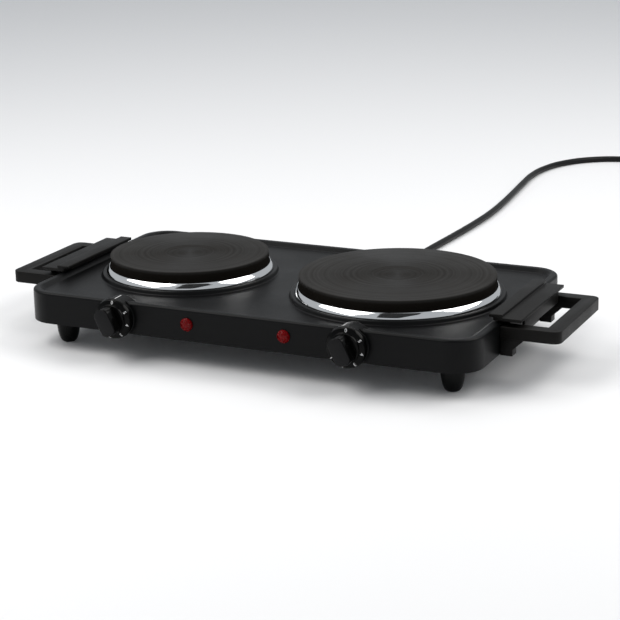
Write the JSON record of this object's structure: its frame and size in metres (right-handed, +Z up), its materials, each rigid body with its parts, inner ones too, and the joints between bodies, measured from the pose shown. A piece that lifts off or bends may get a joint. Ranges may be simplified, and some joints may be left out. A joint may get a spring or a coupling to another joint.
{
  "type": "double electric hot plate",
  "caption": "Portable electric hob: a black pressed-steel pan on feet with a small and a large cast-iron plate, bright trim rings, turning knobs, red lamps, side handles and a lead.",
  "frame": {"origin": "on the table, under the middle of the box round the pan, knobs and handles; the lead and plug are not counted", "axes": "+X to the large plate's end, +Y to the rear wall where the lead leaves, +Z up"},
  "size_m": [0.565, 1.0263, 0.0725],
  "materials": {
    "pan_paint": "satin black stoved paint with a fine texture",
    "base_paint": "matt black painted sheet",
    "plate_iron": "turned and coated cast iron, matt",
    "ring_chrome": "mirror bright",
    "plain_steel": "zinc plated",
    "brass": "plain machined",
    "ceramic": "unglazed ceramic",
    "knob_gloss": "glossy black with white dial marks",
    "lens_red": "clear red, ribbed",
    "neon_glass": "clear glass tube",
    "foot_plastic": "fine textured black",
    "handle_plastic": "fine textured warm black",
    "cord_vinyl": "smooth satin black sheath",
    "plug_plastic": "satin black moulding"
  },
  "bodies": {
    "hob": {"top_pan": "pan_paint", "base_plate": "base_paint", "small_hot_plate": "plate_iron", "small_trim_ring": "ring_chrome", "small_element_bed": "ceramic", "small_cover_disc": "plain_steel", "small_clamp_bar": "plain_steel", "small_centre_stud": "plain_steel", "small_clamp_nut": "plain_steel", "small_base_nut": "plain_steel", "small_connector_block": "ceramic", "large_hot_plate": "plate_iron", "large_trim_ring": "ring_chrome", "large_element_bed": "ceramic", "large_cover_disc": "plain_steel", "large_clamp_bar": "plain_steel", "large_centre_stud": "plain_steel", "large_clamp_nut": "plain_steel", "large_base_nut": "plain_steel", "large_connector_block": "ceramic", "left_thermostat": "ceramic", "left_panel_nut": "plain_steel", "right_thermostat": "ceramic", "right_panel_nut": "plain_steel", "left_lamp_lens": "lens_red", "left_neon_lamp": "neon_glass", "left_lens_clip": "plain_steel", "right_lamp_lens": "lens_red", "right_neon_lamp": "neon_glass", "right_lens_clip": "plain_steel", "front_left_foot": "foot_plastic", "front_left_foot_screw": "plain_steel", "front_right_foot": "foot_plastic", "front_right_foot_screw": "plain_steel", "rear_left_foot": "foot_plastic", "rear_left_foot_screw": "plain_steel", "rear_right_foot": "foot_plastic", "rear_right_foot_screw": "plain_steel", "left_handle_loop": "handle_plastic", "left_handle_saddle": "handle_plastic", "left_handle_front_screw": "plain_steel", "left_handle_rear_screw": "plain_steel", "right_handle_loop": "handle_plastic", "right_handle_saddle": "handle_plastic", "right_handle_front_screw": "plain_steel", "right_handle_rear_screw": "plain_steel", "terminal_block": "ceramic", "cord_gland": "cord_vinyl", "mains_cord": "cord_vinyl", "cord_coil": "cord_vinyl", "cord_tail": "cord_vinyl", "plug_body": "plug_plastic", "plug_earth_pin": "brass", "plug_live_pin": "brass", "plug_neutral_pin": "brass"},
    "left_control": {"left_control_shaft": "brass", "left_knob": "knob_gloss"},
    "right_control": {"right_control_shaft": "brass", "right_knob": "knob_gloss"}
  },
  "joints": [
    {"name": "left_knob_turn", "type": "hinge", "parent": "hob", "child": "left_control", "pos_m": [-0.124, -0.13, 0.0403], "axis": [0, 1, 0], "range_deg": [0, 300]},
    {"name": "right_knob_turn", "type": "hinge", "parent": "hob", "child": "right_control", "pos_m": [0.1115, -0.13, 0.0403], "axis": [0, 1, 0], "range_deg": [0, 300]}
  ]
}
